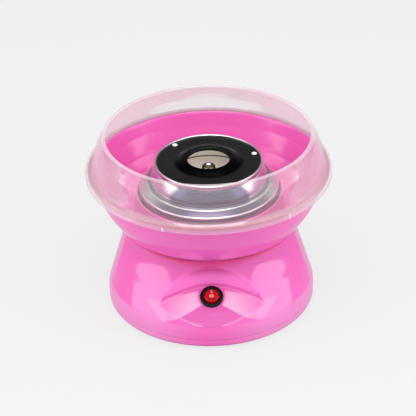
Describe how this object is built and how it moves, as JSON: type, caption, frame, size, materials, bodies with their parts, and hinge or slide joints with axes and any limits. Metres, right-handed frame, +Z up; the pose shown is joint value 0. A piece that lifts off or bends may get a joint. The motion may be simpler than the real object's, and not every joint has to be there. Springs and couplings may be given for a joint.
{
  "type": "cotton candy machine",
  "caption": "Household cotton candy maker: pink waisted base with rocker switch, lift-off floss bowl, clear guard and a spinning sugar head over a heater.",
  "frame": {"origin": "on the spin axis at table level, under the feet", "axes": "+Z up along the spin axis, the switch side faces -Y, +X to the right seen from the front"},
  "size_m": [0.25, 0.25, 0.1904],
  "materials": {
    "pink_abs": "polished injection-moulded plastic",
    "clear_pp": "milky translucent plastic",
    "black_coating": "glossy black coating on aluminium",
    "aluminium": "drawn and lightly brushed",
    "steel": "plated",
    "brass": "turned",
    "black_plastic": "satin",
    "red_lens": "clear tinted plastic",
    "rubber": "matt moulded rubber",
    "ceramic": "unglazed steatite",
    "magnet": "ferrite",
    "copper": "enamelled copper windings on a steel core",
    "board": "circuit board with components left out",
    "wire_red": "silicone sleeve",
    "wire_blue": "silicone sleeve"
  },
  "bodies": {
    "base": {"base_shell": "pink_abs", "bottom_cover": "pink_abs", "heater_pan": "aluminium", "heat_shield": "steel", "heating_element": "steel", "motor_plate": "steel", "motor_can": "steel", "cover_screw_1": "steel", "cover_screw_2": "steel", "cover_screw_3": "steel", "cover_screw_4": "steel", "pan_standoff_1": "steel", "pan_standoff_2": "steel", "pan_standoff_3": "steel", "plate_screw_1": "steel", "plate_screw_2": "steel", "plate_screw_3": "steel", "bearing_upper": "brass", "bearing_lower": "brass", "switch_terminal_1": "brass", "switch_terminal_2": "brass", "plug_pin_1": "brass", "plug_pin_2": "brass", "motor_end_cap": "black_plastic", "thermostat": "black_plastic", "switch_housing": "black_plastic", "strain_relief": "black_plastic", "power_cord": "black_plastic", "plug_body": "black_plastic", "foot_back_right": "rubber", "foot_back_left": "rubber", "foot_front_left": "rubber", "foot_front_right": "rubber", "motor_damper_1": "rubber", "motor_damper_2": "rubber", "motor_damper_3": "rubber", "ceramic_bush_1": "ceramic", "ceramic_bush_2": "ceramic", "motor_magnet": "magnet", "rectifier_board": "board", "wire_live": "wire_red", "wire_switched": "wire_red", "wire_motor": "wire_red", "wire_neutral": "wire_blue"},
    "rotor": {"motor_shaft": "steel", "drive_pin": "steel", "motor_armature": "copper"},
    "head": {"head_top_plate": "black_coating", "head_rim_ring": "aluminium", "head_cup": "aluminium", "head_floor": "aluminium", "head_hub": "brass", "hub_nut": "brass", "head_rivet_1": "steel", "head_rivet_2": "steel", "head_rivet_3": "steel"},
    "bowl": {"floss_bowl": "pink_abs"},
    "guard": {"splash_guard": "clear_pp"},
    "rocker": {"switch_rocker": "red_lens"}
  },
  "joints": [
    {"name": "shaft_spin", "type": "hinge", "parent": "base", "child": "rotor", "pos_m": [0, 0, 0.09], "axis": [0, 0, 1], "continuous": true},
    {"name": "head_lift", "type": "slide", "parent": "rotor", "child": "head", "axis": [0, 0, 1], "range_m": [0, 0.06]},
    {"name": "bowl_lift", "type": "slide", "parent": "base", "child": "bowl", "axis": [0, 0, 1], "range_m": [0, 0.1]},
    {"name": "guard_lift", "type": "slide", "parent": "bowl", "child": "guard", "axis": [0, 0, 1], "range_m": [0, 0.08]},
    {"name": "switch_rock", "type": "hinge", "parent": "base", "child": "rocker", "pos_m": [0, -0.0774, 0.0437], "axis": [1, 0, 0], "range_deg": [0, 18]}
  ]
}
